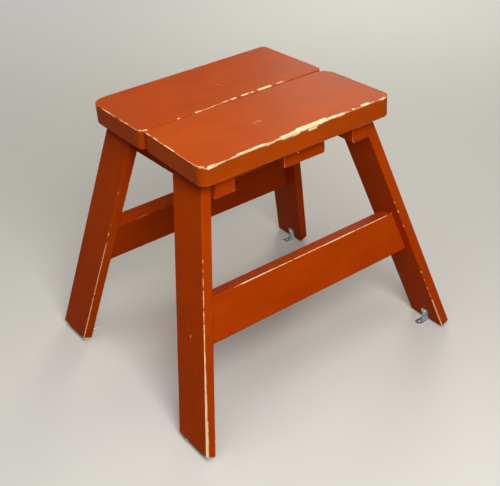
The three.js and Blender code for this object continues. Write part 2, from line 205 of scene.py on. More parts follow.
# Worn arrises of the legs, by leg, edge and face, and worn top ones of the rails, by rail and face. In
# millimetres: start and end from the top or the left, then reach onto the broad face and the narrow one
LEG_WEAR = {
    ("front_left", "outer", "outer"): [
        (134, 142, 0.8, 0.7), (150, 158, 0.8, 0.8), (164, 180, 0.9, 0.9), (184, 200, 0.9, 1.1),
        (202, 216, 0.9, 1), (220, 242, 1.1, 1.2), (246, 264, 1, 1.2), (266, 292, 1.2, 1.5),
        (292, 330, 1.4, 2.1), (330, 372, 1.5, 2.7), (370, 420, 1.7, 3.6), (418, 488, 2, 5)],
    ("front_right", "outer", "inner"): [
        (180, 186, 1.1, 1), (201, 208, 1.6, 1.6), (235, 241, 1.3, 1.2), (346, 351, 1.7, 1.7),
        (366, 372, 0.8, 0.8), (384, 394, 1, 0.9), (400, 412, 0.9, 0.9), (418, 488, 1.8, 1.7)],
    ("front_right", "inner", "outer"): [(238, 262, 1.6, 1.3), (330, 420, 2, 1.6), (440, 480, 2.6, 2.2)],
    ("rear_left", "inner", "outer"): [
        (193, 201, 1.8, 1.2), (216, 244, 1, 1), (244, 350, 1.1, 1.1), (352, 400, 1.3, 1.2),
        (398, 462, 1.5, 1.5), (462, 484, 1, 0.9)],
    ("rear_left", "outer", "outer"): [(176, 188, -0.4, 2.4), (262, 306, -0.3, 2.6), (368, 476, -0.2, 3)],
    ("rear_right", "outer", "outer"): [(90, 104, 1, 1), (280, 360, 1.1, 1), (372, 480, 1.4, 1.4)],
    ("rear_right", "inner", "outer"): [(206, 232, 1.6, 1.3), (318, 402, 1.9, 1.5), (424, 476, 2.4, 2)],
}
RAIL_WEAR = {
    ("front", "outer"): [
        (58, 74, 0.6, 0.6), (72, 146, 1.4, 1.9), (146, 190, 1, 1.2), (192, 260, 1.1, 1.2),
        (262, 338, 1.6, 1.6), (342, 420, 1.1, 1.1), (430, 462, 0.8, 0.8)],
    ("rear", "inner"): [(60, 88, 0.5, 0.6), (120, 132, 0.5, 0.5), (240, 300, 0.6, 0.6)],
    ("rear", "outer"): [(96, 150, 2.4, -0.3), (214, 304, 2.8, -0.2), (336, 352, 2.4, -0.3)],
}

# Short scratches down to the wood, in millimetres: where each starts and ends, then half its width
SCRATCHES = {
    "seat_board_front": [
        ((-33.3, -102, 503), (-27.2, -108, 503), 0.8),
        ((-41, -106, 503), (-38, -108, 503), 0.5)],
    "seat_board_rear": [
        ((15.5, 82.9, 503), (16.6, 79.4, 503), 1.0),
        ((18.8, 75, 503), (19.6, 72, 503), 0.7)],
    "leg_front_left": [((-253.2, -178.5, 198.8), (-255.6, -181.9, 189.5), 1.1)],
    "batten_centre": [((8.5, -159, 451.4), (12.7, -159, 447.1), 0.8)],
}

# A small hole in the front end of the right-hand batten
NAIL_HOLE_X = 0.1415
NAIL_HOLE_Z = 0.4373

# Ageing of the timber: sizes of its noise, then depths and shares. A stray chip starts where its noise
# passes a threshold, and a rub is half the width of a line where the paint is rubbed thin
HOLLOW_SIZES = (0.11, 0.05, 0.05)
BITE_SIZE = 0.016
FINE_BITE_SIZE = 0.005
FINE_BITE_SHARE = 0.3
GROOVE_SIZES = (0.02, 0.0016, 0.0016)
GROOVE_DEPTH = 0.00015
WORN_DEPTH = 0.0003
WORN_RANGE = 0.003
WORN_START_SHARE = 0.3
CHIP_SIZE = 0.017
FINE_CHIP_SIZE = 0.006
FINE_CHIP_SHARE = 0.5
CHIP_DEPTH = 0.004
RUB_SIZE = 0.014
RUB_WANDER = 0.0007
BOARD_AGE = dict(hollow=0.0003, arris_wear=0.0005)
BOARD_CHIPS = dict(reach=0.0012, threshold=0.62)
BOARD_RUB = 0.0001
TIMBER_AGE = dict(hollow=0.00025, arris_wear=0.0004)
TIMBER_CHIPS = dict(reach=0.0009, threshold=0.78)
BATTEN_END_RUB = 0.0003
RAIL_END_RUB = 0.0001

# What 1 less the largest part of a normal comes to on the middle of an arris
FULL_ARRIS = 0.29

# Seeds, and how far each one shifts the noise along x, y and z. Legs and battens count up from theirs
SEEDS = {
    "front_board": 1.3, "rear_board": 2.9, "legs": 4.1, "front_rail": 9.2, "rear_rail": 10.7,
    "battens": 12.4, "screws": 20.0, "zinc": 30.0, "glides": 40.0, "floor": 1.0,
}
NOISE_SHIFT = (3.1, 1.7, 0.9)
TEXTURE_SHIFT = (1, 0.7, 0.3)

# Colours, linear
# The seat boards share one paint; the front board's lighter, greener copy is painted sheen for its glare
BOARD_PAINT_AND_SHEEN = {"front": (0.472, 0.065, 0.003), "rear": (0.462, 0.060, 0.002)}
# Frame paint, partly painted shade: redder and less green than the seat's, for the faces in shade
FRAME_PAINT_AND_SHADE = (0.484, 0.051, 0.001)
STREAK_PAINT = (0.10, 0.014, 0.001)
SPECK_PAINT = (0.20, 0.03, 0.004)
RUBBED_PAINT = (0.74, 0.28, 0.13)
PALE_WOOD = (1.0, 0.86, 0.54)
BROWN_WOOD = (0.84, 0.61, 0.33)
ZINC = (0.66, 0.76, 0.80)
DULL_ZINC = (0.42, 0.50, 0.52)
GLIDE_WHITE = (0.93, 0.92, 0.89)
GLIDE_DIRT = (0.68, 0.63, 0.54)
FLOOR_COLOUR = (0.78, 0.78, 0.75)
SKY_COLOUR = (0.90, 0.92, 0.93)
BOUNCE_COLOUR = (0.19, 0.12, 0.07)
AMBIENT_COLOUR = (1.0, 0.80, 0.66)

# Noise in the painted wood: size, what it adds to the seed, stretch along the grain and detail
PAINT_NOISE = (
    (0.075, 0, 1.6, 3), (0.022, 3, 2.2, 3), (0.0016, 5, 30, 4), (0.0035, 7, 45, 3),
    (0.0011, 9, 1, 2), (0.0042, 11, 1.8, 2), (0.0013, 13, 1.5, 2), (0.0024, 15, 1, 1),
)

# Paint over wood, in millimetres: how far a chip's edge wanders, and the depths in a bare patch over which
# the paint goes, is first rubbed thin, and the wood turns clean
RAGGED_REACH = 0.9
NIBBLE_REACH = 0.8
BARE_DEPTHS = (-0.05, 0.2)
RUB_DEPTHS = (-0.9, 0.05)
CLEAN_WOOD_DEPTHS = (0.1, 1.1)

# Limits are where a pattern starts and where it is full, and roughness runs from low to high
DARK_PAINT_SHARE = 0.9
LIGHT_PAINT_SHARES = (1.08, 1.16, 1)
PATCH_SHARE = 0.62
TONE_LIMITS = (0.30, 0.72)
STREAK_LIMITS = (0.34, 0.66)
STREAK_STRENGTH = 0.03
SPECK_LIMITS = (0.70, 0.78)
SPECK_STRENGTH = 0.4
RUB_STRENGTH = 0.55
GRAIN_LIMITS = (0.42, 0.70)
STAINED_WOOD_SHARE = 0.45
SEAT_ROUGHNESS = (0.30, 0.42)
FRAME_ROUGHNESS = (0.35, 0.49)
BARE_WOOD_ROUGHNESS = 0.72
TARNISH_LIMITS = (0.42, 0.66)
ZINC_SCRATCH_SHARE = 0.1
ZINC_ROUGHNESS = (0.30, 0.58)
ZINC_RELIEF = 0.00004
DIRT_LIMITS = (0.5, 0.78)
GLIDE_SCUFF_SHARE = 0.12
GLIDE_ROUGHNESS = (0.35, 0.6)
GLIDE_RELIEF = 0.00005

# Relief of the painted wood in millimetres
GRAIN_RELIEF = 0.05
STROKE_RELIEF = 0.06
PEEL_RELIEF = 0.018
BARE_GRAIN_RELIEF = 0.14
PAINT_THICKNESS = 0.14

# Floor and light
FLOOR_DARK_SHARE = 0.97
FAR_FLOOR_GLOW = 0.4
GLOW_START = 0.4
GLOW_END = 3.5
AMBIENT_STRENGTH = 0.09
SKY_STRENGTH = 0.75

# Softboxes: place, target, size, power and colour
SOFTBOXES = {
    "key": ((-0.55, -1.52, 1.56), (0, 0, 0.3), 0.9, 28.5, (1, 0.99, 0.96)),
    "overhead": ((-0.3, -0.1, 1.6), (-0.1, 0, 0.5), 1.4, 10, (1, 1, 0.98)),
    "sheen": ((1.9, 1.6, 1.5), (0.1, 0, 0.45), 1.0, 16, (1, 0.95, 0.80)),
}

# The sign of x at each batten, and of x and y at each foot
BATTENS = {"left": -1, "centre": 0, "right": 1}
CORNERS = {"front_left": (-1, -1), "front_right": (1, -1), "rear_left": (-1, 1), "rear_right": (1, 1)}

# Places that several pieces share
BOARD_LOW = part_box("seat_board_front")[0]
UNDERSIDE = BOARD_LOW.z
LEG_TOP_X = -BOARD_LOW.x - SEAT_SIDE_OVERHANG
LEG_TOP_Y = -BOARD_LOW.y - SEAT_FRONT_OVERHANG
LEAN_PER_HEIGHT = math.hypot(1, SIDE_SPLAY_SHARE)
LEG_LEAN = math.atan(SIDE_SPLAY_SHARE)
LEG_SPAN_Y = LEG_WIDTH * math.hypot(LEAN_PER_HEIGHT, END_SPLAY_SHARE) / LEAN_PER_HEIGHT
INNER_FACE_SHIFT_Y = END_SPLAY_SHARE * LEG_THICKNESS * math.sin(LEG_LEAN)
UPWARD = Vector((0, 0, 1))
FRONTWARD = Vector((0, -1, 0))


def leg_outer_x(z):
    return LEG_TOP_X + (UNDERSIDE - z) * SIDE_SPLAY_SHARE


def leg_inner_x(z):
    return leg_outer_x(z) - LEG_THICKNESS * LEAN_PER_HEIGHT


def leg_edge_y(z):
    return LEG_TOP_Y + (UNDERSIDE - z) * END_SPLAY_SHARE


# The foot's sloping end, from its lower inner arris up to its outer one
FOOT_HIGH = FOOT_CLEARANCE + FOOT_RISE
FOOT_MIDDLE_X = (leg_inner_x(FOOT_CLEARANCE) + leg_outer_x(FOOT_HIGH)) / 2
FOOT_MIDDLE_Z = (FOOT_CLEARANCE + FOOT_HIGH) / 2
FOOT_SLOPE = math.atan2(FOOT_RISE, leg_outer_x(FOOT_HIGH) - leg_inner_x(FOOT_CLEARANCE))
FOOT_EDGE_Y = leg_edge_y(FOOT_MIDDLE_Z) - INNER_FACE_SHIFT_Y / 2


def foot_down(side):
    return Vector((side * math.sin(FOOT_SLOPE), 0, -math.cos(FOOT_SLOPE)))


def foot_point(side, y):
    return Vector((side * FOOT_MIDDLE_X, y, FOOT_MIDDLE_Z))


def frame_at(place, length_axis, width_axis, face_axis):
    """A piece's own frame: +X along the grain, +Y across it and +Z out of the broad face."""
    turn = Matrix((length_axis, width_axis, face_axis)).transposed().to_4x4()
    return Matrix.Translation(place) @ turn


# Shader helpers
def shade(tree, kind, values, **settings):
    """A shader node. values gives an input, by name or number, a plain value or another node's output."""
    made = tree.nodes.new("ShaderNode" + kind)
    for name, setting in settings.items():
        setattr(made, name, setting)
    for key, value in values.items():
        if isinstance(value, bpy.types.NodeSocket):
            tree.links.new(value, made.inputs[key])
        else:
            made.inputs[key].default_value = value
    return made


def reckon(tree, operation, a, b):
    return shade(tree, "Math", {0: a, 1: b}, operation=operation).outputs[0]


def add_up(tree, *parts):
    total = parts[0]
    for part in parts[1:]:
        total = reckon(tree, "ADD", total, part)
    return total


def blend_colours(tree, share, a, b):
    values = {0: share, 6: rgba(a), 7: rgba(b)}
    return shade(tree, "Mix", values, data_type="RGBA").outputs[2]


def rgba(colour):
    return colour if isinstance(colour, bpy.types.NodeSocket) else (*colour, 1)


def ramp_up(tree, value, low, high):
    """0 below low, 1 above high, smooth between"""
    values = {"Value": value, "From Min": low, "From Max": high}
    return shade(tree, "MapRange", values, interpolation_type="SMOOTHSTEP").outputs[0]


def spread(tree, value, low, high):
    """A number from 0 to 1 turned into one from low to high"""
    return shade(tree, "MapRange", {"Value": value, "To Min": low, "To Max": high}).outputs[0]


def mottle(tree, place, size, seed, stretch=1.0, detail=2.0):
    """Soft random variation of about the given size, stretched along the grain"""
    shift = tuple(seed * share for share in TEXTURE_SHIFT)
    scale = (1 / (size * stretch), 1 / size, 1 / size)
    moved = shade(tree, "Mapping", {"Vector": place, "Location": shift, "Scale": scale}).outputs[0]
    values = {"Vector": moved, "Scale": 1, "Detail": detail, "Roughness": 0.55}
    return shade(tree, "TexNoise", values).outputs[0]


def local_place(tree, matrix=None):
    """A point's place in the stool's frame, or in a frame of its own"""
    place = shade(tree, "TexCoord", {}).outputs["Object"]
    if matrix is None:
        return place
    turned_back = matrix.inverted()
    values = {"Vector": place, "Location": turned_back.translation, "Rotation": turned_back.to_euler()}
    return shade(tree, "Mapping", values).outputs[0]


def new_material(name, matrix=None):
    material = bpy.data.materials.new(name)
    material.use_nodes = True
    tree = material.node_tree
    return material, tree, tree.nodes["Principled BSDF"], local_place(tree, matrix)


def scratch_depth(tree, face_axis, start, end, half_width):
    """How deep inside a straight scratch a point lies, in millimetres"""
    start, end = Vector(start) * MILLIMETRE, Vector(end) * MILLIMETRE
    length_axis = (end - start).normalized()
    matrix = frame_at((start + end) / 2, length_axis, face_axis.cross(length_axis), face_axis)
    parts = shade(tree, "SeparateXYZ", {0: local_place(tree, matrix)}).outputs
    limits = ((end - start).length / 2, half_width * MILLIMETRE, SCRATCH_FACE_RANGE)
    off = [reckon(tree, "ABSOLUTE", part, 0) for part in parts]
    beyond = [reckon(tree, "SUBTRACT", a, limit) for a, limit in zip(off, limits)]
    furthest = reckon(tree, "MAXIMUM", reckon(tree, "MAXIMUM", beyond[0], beyond[1]), beyond[2])
    return reckon(tree, "DIVIDE", furthest, -MILLIMETRE)


def dress(tree, surface, colour, roughness, height, distance):
    """Joins a recipe's colour, roughness and relief to the surface"""
    relief = shade(tree, "Bump", {"Height": height, "Distance": distance, "Strength": 1}).outputs[0]
    for name, value in (("Base Color", colour), ("Roughness", roughness), ("Normal", relief)):
        tree.links.new(value, surface.inputs[name])


def painted_wood(name, seed, matrix, paint, roughness, scratches=(), face_axis=None):
    """Enamel over pale softwood, bare where the timber's wear number passes a half and in scratches"""
    material, tree, surface, place = new_material(name, matrix)
    patch, cloud, grain, strokes, peel, ragged, nibble, specks = (
        mottle(tree, place, size, seed + step, stretch, detail)
        for size, step, stretch, detail in PAINT_NOISE)

    wear = shade(tree, "Attribute", {}, attribute_name="wear").outputs["Fac"]
    half_range = WEAR_RANGE / 2 / MILLIMETRE
    depth = spread(tree, wear, -half_range, half_range)
    for start, end, half_width in scratches:
        depth = reckon(tree, "MAXIMUM", depth, scratch_depth(tree, face_axis, start, end, half_width))
    frayed = (ragged, RAGGED_REACH), (nibble, NIBBLE_REACH)
    edge = add_up(tree, *(spread(tree, part, -reach, reach) for part, reach in frayed), depth)
    chip = ramp_up(tree, edge, *BARE_DEPTHS)
    rub = ramp_up(tree, edge, *RUB_DEPTHS)

    dark_paint = tuple(DARK_PAINT_SHARE * c for c in paint)
    light_paint = tuple(share * c for share, c in zip(LIGHT_PAINT_SHARES, paint))
    tone = add_up(tree, spread(tree, patch, 0, PATCH_SHARE), spread(tree, cloud, 0, 1 - PATCH_SHARE))
    streak = spread(tree, ramp_up(tree, strokes, *STREAK_LIMITS), STREAK_STRENGTH, 0)
    speck = spread(tree, ramp_up(tree, specks, *SPECK_LIMITS), 0, SPECK_STRENGTH)
    coat = blend_colours(tree, ramp_up(tree, tone, *TONE_LIMITS), dark_paint, light_paint)
    coat = blend_colours(tree, streak, coat, STREAK_PAINT)
    coat = blend_colours(tree, speck, coat, SPECK_PAINT)
    coat = blend_colours(tree, spread(tree, rub, 0, RUB_STRENGTH), coat, RUBBED_PAINT)
    clean_wood = blend_colours(tree, ramp_up(tree, grain, *GRAIN_LIMITS), PALE_WOOD, BROWN_WOOD)
    stained_wood = blend_colours(tree, STAINED_WOOD_SHARE, BROWN_WOOD, RUBBED_PAINT)
    timber = blend_colours(tree, ramp_up(tree, edge, *CLEAN_WOOD_DEPTHS), stained_wood, clean_wood)

    gloss = spread(tree, patch, *roughness)
    finish = shade(tree, "Mix", {0: chip, 2: gloss, 3: BARE_WOOD_ROUGHNESS}, data_type="FLOAT").outputs[0]
    bare_grain = reckon(tree, "MULTIPLY", chip, spread(tree, grain, 0, BARE_GRAIN_RELIEF))
    layers = ((grain, GRAIN_RELIEF), (strokes, STROKE_RELIEF), (peel, PEEL_RELIEF), (chip, -PAINT_THICKNESS))
    heights = [spread(tree, layer, 0, height) for layer, height in layers]
    relief = add_up(tree, *heights, bare_grain)
    dress(tree, surface, blend_colours(tree, chip, coat, timber), finish, relief, MILLIMETRE)
    surface.inputs["Specular IOR Level"].default_value = 0.022
    return material


def zinc_plate(name, seed):
    material, tree, surface, place = new_material(name)
    patch = mottle(tree, place, size=0.006, seed=seed, detail=3)
    scratch = mottle(tree, place, size=0.0005, seed=seed + 2, stretch=14)
    streaked = add_up(tree, patch, spread(tree, scratch, -ZINC_SCRATCH_SHARE, ZINC_SCRATCH_SHARE))
    tarnish = ramp_up(tree, streaked, *TARNISH_LIMITS)
    colour = blend_colours(tree, tarnish, ZINC, DULL_ZINC)
    roughness = spread(tree, tarnish, *ZINC_ROUGHNESS)
    dress(tree, surface, colour, roughness, add_up(tree, patch, scratch), ZINC_RELIEF)
    surface.inputs["Metallic"].default_value = 0.9
    return material


def glide_plastic(name, seed):
    material, tree, surface, place = new_material(name)
    patch = mottle(tree, place, size=0.004, seed=seed, detail=4)
    scuff = mottle(tree, place, size=0.0006, seed=seed + 2, stretch=6)
    scuffed = add_up(tree, patch, spread(tree, scuff, -GLIDE_SCUFF_SHARE, GLIDE_SCUFF_SHARE))
    dirt = ramp_up(tree, scuffed, *DIRT_LIMITS)
    colour = blend_colours(tree, dirt, GLIDE_WHITE, GLIDE_DIRT)
    dress(tree, surface, colour, spread(tree, scuff, *GLIDE_ROUGHNESS), scuff, GLIDE_RELIEF)
    return material


# Mesh helpers
def add_object(name, data):
    made = bpy.data.objects.new(name, data)
    bpy.context.scene.collection.objects.link(made)
    return made


def mesh_from(name, bm):
    mesh = bpy.data.meshes.new(name)
    bm.to_mesh(mesh)
    bm.free()
    return mesh


def shade_smooth(mesh):
    mesh.polygons.foreach_set("use_smooth", [True] * len(mesh.polygons))


def place_piece(name, bm, matrix, material, slot, *nodes):
    """Turns a bmesh in its own frame into a piece of the stool"""
    bm.transform(matrix)
    mesh = mesh_from(name, bm)
    mesh.materials.append(material)
    shade_smooth(mesh)
    piece = add_object(name, mesh)
    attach(piece, "root")
    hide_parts(*nodes)
    return piece


def everything(bm):
    return bm.verts[:] + bm.edges[:] + bm.faces[:]


def block(low, high):
    bm = bmesh.new()
    bmesh.ops.create_cube(bm, size=1)
    for v in bm.verts:
        v.co = Vector(low[i] if v.co[i] < 0 else high[i] for i in range(3))
    return bm


def saw(bm, point, normal):
    """Takes off what lies past a plane and closes the cut"""
    cut = bmesh.ops.bisect_plane(bm, geom=everything(bm), plane_co=point, plane_no=normal, clear_outer=True)
    rim = [g for g in cut["geom_cut"] if isinstance(g, bmesh.types.BMEdge)]
    bmesh.ops.contextual_create(bm, geom=rim)
    merge_close(bm)
    bmesh.ops.recalc_face_normals(bm, faces=bm.faces[:])


def saw_in_place(bm, matrix, point, normal):
    """Saws a piece in its own frame along a plane of the stool's frame"""
    back = matrix.inverted()
    saw(bm, back @ point, back.to_3x3() @ normal)


def merge_close(bm):
    """Joins points that lie nearly on each other, which would shade and cut badly"""
    bmesh.ops.remove_doubles(bm, verts=bm.verts[:], dist=MERGE_DISTANCE)
    bmesh.ops.dissolve_degenerate(bm, edges=bm.edges[:], dist=MERGE_DISTANCE)


def grid_lines(low, high, spacing, close=()):
    """Even places between two limits, and more at the close distances inside each"""
    count = max(1, round((high - low) / spacing))
    lines = {low + (high - low) * i / count for i in range(1, count)}
    lines |= {low + c for c in close} | {high - c for c in close}
    return sorted(lines)


def score(bm, axis, places):
    """Divides the faces along planes square to one axis"""
    normal = Vector([float(i == axis) for i in range(3)])
    for place in places:
        bmesh.ops.bisect_plane(bm, geom=everything(bm), plane_co=normal * place, plane_no=normal, dist=TINY)


def round_edges(bm, edges, radius, steps):
    bmesh.ops.bevel(bm, geom=edges, offset=radius, offset_type="OFFSET", segments=steps, profile=0.5,
                    affect="EDGES", clamp_overlap=True)


def corner_outline(low, high, radii, spacing):
    """A rectangle in plan with rounded corners, anticlockwise"""
    points = []
    for i, (sx, sy) in enumerate(((-1, -1), (1, -1), (1, 1), (-1, 1))):
        radius = radii[(sx, sy)]
        x = (high.x - radius) if sx > 0 else (low.x + radius)
        y = (high.y - radius) if sy > 0 else (low.y + radius)
        steps = max(LEAST_CORNER_STEPS, round(radius * math.pi / 2 / spacing))
        for step in range(steps + 1):
            angle = math.pi * (1 + i / 2) + math.pi / 2 * step / steps
            points.append((x + radius * math.cos(angle), y + radius * math.sin(angle)))
    return points


def extruded(points, low, high):
    bm = bmesh.new()
    bottom = [bm.verts.new((x, y, low)) for x, y in points]
    top = [bm.verts.new((x, y, high)) for x, y in points]
    bm.faces.new(top)
    bm.faces.new(bottom[::-1])
    for i, point in enumerate(bottom):
        after = (i + 1) % len(bottom)
        bm.faces.new((point, bottom[after], top[after], top[i]))
    return bm


def turned(profile, sides):
    """A solid of revolution about +Z, from a profile of (radius, z) that starts and ends on the axis"""
    bm = bmesh.new()
    rings = []
    for radius, z in profile:
        if radius == 0:
            rings.append([bm.verts.new((0, 0, z))])
            continue
        turn = [2 * math.pi * i / sides for i in range(sides)]
        rings.append([bm.verts.new((radius * math.cos(a), radius * math.sin(a), z)) for a in turn])
    for below, above in zip(rings, rings[1:]):
        for i in range(sides):
            j = (i + 1) % sides
            around = ((below, i), (below, j), (above, j), (above, i))
            corners = [ring[k % len(ring)] for ring, k in around]
            bm.faces.new(list(dict.fromkeys(corners)))
    bmesh.ops.recalc_face_normals(bm, faces=bm.faces[:])
    return bm


def rod_profile(radius, low, high):
    return [(0, low), (radius, low), (radius, high), (0, high)]


def dome_profile(radius, height):
    """A quarter of an ellipse, from the rim up to the axis"""
    turns = [math.pi / 2 * step / ROUND_STEPS for step in range(ROUND_STEPS)]
    return [(radius * math.cos(turn), height * math.sin(turn)) for turn in turns] + [(0, height)]


def facing(place, direction):
    """A frame at a place with its +Z turned to a direction"""
    return Matrix.Translation(place) @ direction.to_track_quat("Z", "Y").to_matrix().to_4x4()


def cut_out(piece, cutter):
    """Takes one mesh out of another and leaves the result in the piece's own mesh"""
    boolean = piece.modifiers.new("cut", "BOOLEAN")
    boolean.operation = "DIFFERENCE"
    boolean.solver = "EXACT"
    boolean.object = cutter
    bpy.context.view_layer.update()
    shaped = piece.evaluated_get(bpy.context.evaluated_depsgraph_get())
    mesh = bpy.data.meshes.new_from_object(shaped)
    piece.modifiers.clear()
    old = piece.data
    piece.data = mesh
    bpy.data.meshes.remove(old)


def soften(piece):
    """Keeps broad faces flat in shading beside rounded arrises"""
    weighted = piece.modifiers.new("flat_faces", "WEIGHTED_NORMAL")
    weighted.weight = 80
    weighted.keep_sharp = True


# Age: wear numbers and small dips in the surface
def wear_number(inside):
    """The number kept on the timber for how far a point lies inside a bare patch, in metres"""
    return min(1.0, max(0.0, 0.5 + inside / WEAR_RANGE))


def inside_patches(run, across, patches):
    """How far inside the nearest patch a point lies: run is along the arris, across is over it"""
    best = -WEAR_RANGE
    for start, end, onto_face, down_side in patches:
        low, high = start * MILLIMETRE, end * MILLIMETRE
        reach = min(across + onto_face * MILLIMETRE, down_side * MILLIMETRE - across)
        best = max(best, min(reach, run - low, high - run))
    return best


def stray_chips(place, across, reach, threshold):
    """Small random chips along an arris, where slow noise is high enough"""
    fine = FINE_CHIP_SHARE * noise.noise(place / FINE_CHIP_SIZE)
    roll = noise.noise(place / CHIP_SIZE) + fine
    return min(reach - abs(across), (roll - threshold) * CHIP_DEPTH)


def rubbed_arris(place, off_arris, half_width):
    """A line where the paint is rubbed thin, broken by slow noise"""
    return half_width + RUB_WANDER * noise.noise(place / RUB_SIZE) - off_arris


def stretched_noise(place, sizes):
    return noise.noise(Vector(part / size for part, size in zip(place, sizes)))


def age(bm, wear_at, seed, hollow, arris_wear):
    """Lays wear numbers on the timber, dips its faces a little and eats its arrises unevenly, inward only"""
    layer = bm.verts.layers.float.new("wear")
    bm.normal_update()
    shift = Vector(seed * share for share in NOISE_SHIFT)
    dips = []
    for v in bm.verts:
        slant = 1 - max(abs(c) for c in v.normal)
        arris = min(1.0, slant / FULL_ARRIS)
        place = v.co + shift
        slow = 0.5 + 0.5 * stretched_noise(place, HOLLOW_SIZES)
        fine_bite = FINE_BITE_SHARE * noise.noise(place / FINE_BITE_SIZE)
        bite = 0.5 + 0.5 * noise.noise(place / BITE_SIZE) + fine_bite
        inside = wear_at(v.co, place)
        v[layer] = wear_number(inside)
        worn = min(1.0, max(0.0, inside / WORN_RANGE + WORN_START_SHARE))
        groove = WORN_DEPTH + GROOVE_DEPTH * stretched_noise(place, GROOVE_SIZES)
        dip = hollow * slow + arris_wear * arris * max(0.0, bite) + worn * groove
        dips.append((v, v.normal.copy(), dip))
    for v, normal, dip in dips:
        v.co -= normal * dip


# Seat boards
def outline_place(x, y, half, radii, corner_y):
    """A board point's distance inside the outline in plan, its run along the outline from the middle of
    the left corner on the corner_y side, positive along the long edge and round the right-hand end, and
    whether that corner's patches can reach it"""
    sx = 1 if x > 0 else -1
    sy = 1 if y > 0 else -1
    radius = radii[(sx, sy)]
    qx = abs(x) - (half.x - radius)
    qy = abs(y) - (half.y - radius)
    beyond = math.hypot(max(qx, 0), max(qy, 0))
    inside = radius - beyond - min(max(qx, qy), 0)
    corner = radii[(-1, corner_y)]
    arc = corner * math.pi / 4
    along = x + half.x - corner
    away = half.y - corner - corner_y * y
    if along < 0 and away < 0:
        run = corner * (math.atan2(-away, -along) - math.pi / 4)
    elif x > 0 and qx > qy:
        run = 2 * half.x - corner + arc + half.y - corner_y * y
    elif qy > qx or along > half.x:
        run = along + arc
    else:
        run = -away - arc
    near = corner_y * y > 0 or qx > qy
    return inside, run, near


def seat_board(name, wear_tables):
    node = "seat_board_" + name
    radii, skew, seed = BOARD_RADII[name], BOARD_SKEW[name], SEEDS[name + "_board"]
    low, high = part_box(node)
    centre = (low + high) / 2
    half = (high - low) / 2
    outline = corner_outline(low - centre, high - centre, radii, BOARD_OUTLINE_SPACING)
    bm = extruded(outline, -half.z, half.z)
    rims = [e for e in bm.edges if abs(e.verts[0].co.z - e.verts[1].co.z) < TINY]
    round_edges(bm, rims, BOARD_ARRIS, ARRIS_STEPS)
    along, across, through = BOARD_GRID
    score(bm, 1, grid_lines(-half.y, half.y, across, NEAR_BOARD_EDGE))
    score(bm, 0, grid_lines(-half.x, half.x, along, NEAR_BOARD_EDGE))
    score(bm, 2, grid_lines(-half.z, half.z, through, NEAR_BOARD_EDGE[:2]))
    merge_close(bm)

    def wear_at(co, place):
        best = -WEAR_RANGE
        inset = 0
        for corner_y, patches in wear_tables.items():
            inset, run, near = outline_place(co.x, co.y, half, radii, corner_y)
            if near and co.z > 0:
                best = max(best, inside_patches(run, (half.z - co.z) - max(inset, 0), patches))
        from_arris = (half.z - abs(co.z)) - max(inset, 0)
        if co.z < 0:
            best = max(best, rubbed_arris(place, abs(from_arris), BOARD_RUB))
        return max(best, stray_chips(place, from_arris, **BOARD_CHIPS))

    age(bm, wear_at, seed, **BOARD_AGE)
    split = 1 if centre.y < 0 else -1
    for v in bm.verts:
        from_right = (half.x - v.co.x) / (2 * half.x)
        towards_split = 0.5 + split * v.co.y / (2 * half.y)
        v.co.x += abs(skew) * from_right * (towards_split if skew > 0 else 1 - towards_split)
        v.co.y -= split * SPLIT_TAPER * (1 - from_right) * towards_split
    matrix = Matrix.Translation(centre)
    # The board's colour holds painted sheen: the front board's copy is lighter and greener than the rear's
    coat = painted_wood(node + "_timber_paint", seed, matrix, BOARD_PAINT_AND_SHEEN[name], SEAT_ROUGHNESS,
                        SCRATCHES[node], UPWARD)
    return place_piece(node + "_timber", bm, matrix, coat, "seat_paint", node)


# Straight timber: legs, rails and battens
def straight_timber(node, matrix, low, high, cuts, arris, wear, start, seed, end_rub=None):
    """A sawn length in its own frame. wear lists the patches of edges along +X at a (y, z) corner, counted
    from start. end_rub is half the width of the rubbed line round its ends"""
    low, high = Vector(low), Vector(high)
    bm = block(low, high)
    for point, normal in cuts:
        saw_in_place(bm, matrix, point, normal)

    def long_edge(e):
        a, b = e.verts[0].co, e.verts[1].co
        return abs(a.y - b.y) < TINY and abs(a.z - b.z) < TINY

    round_edges(bm, [e for e in bm.edges if long_edge(e)], arris, ARRIS_STEPS)
    ends = [f for f in bm.faces if abs(f.normal.x) > 0.5]
    rims = list({e for f in ends for e in f.edges})
    round_edges(bm, rims, END_ARRIS, FINE_ARRIS_STEPS)
    reach = [v.co.x for v in bm.verts]
    along, across, through = TIMBER_GRID
    near_arris = [arris * share for share in NEAR_ARRIS_SHARES]
    score(bm, 1, grid_lines(low.y, high.y, across, near_arris))
    score(bm, 2, grid_lines(low.z, high.z, through, near_arris))
    score(bm, 0, grid_lines(min(reach), max(reach), along, NEAR_TIMBER_END))
    merge_close(bm)

    def wear_at(co, place):
        best = -WEAR_RANGE
        for (edge_y, face_z), patches in wear:
            from_edge = abs(co.y - edge_y)
            from_face = abs(co.z - face_z)
            if min(from_edge, from_face) < arris:
                best = max(best, inside_patches(abs(co.x - start), from_face - from_edge, patches))
        from_edge = min(co.y - low.y, high.y - co.y)
        from_face = min(co.z - low.z, high.z - co.z)
        if end_rub is not None:
            from_end = min(co.x - min(reach), max(reach) - co.x)
            best = max(best, rubbed_arris(place, abs(from_end - min(from_edge, from_face)), end_rub))
        return max(best, stray_chips(place, from_face - from_edge, **TIMBER_CHIPS))

    age(bm, wear_at, seed, **TIMBER_AGE)
    face_axis = FRONTWARD if node.startswith("batten") else matrix.to_3x3().col[2]
    # The frame paint carries painted shade: redder and less green than the seat's paint
    coat = painted_wood(node + "_timber_paint", seed, matrix, FRAME_PAINT_AND_SHADE, FRAME_ROUGHNESS,
                        SCRATCHES.get(node, ()), face_axis)
    return place_piece(node + "_timber", bm, matrix, coat, "frame_paint", node)


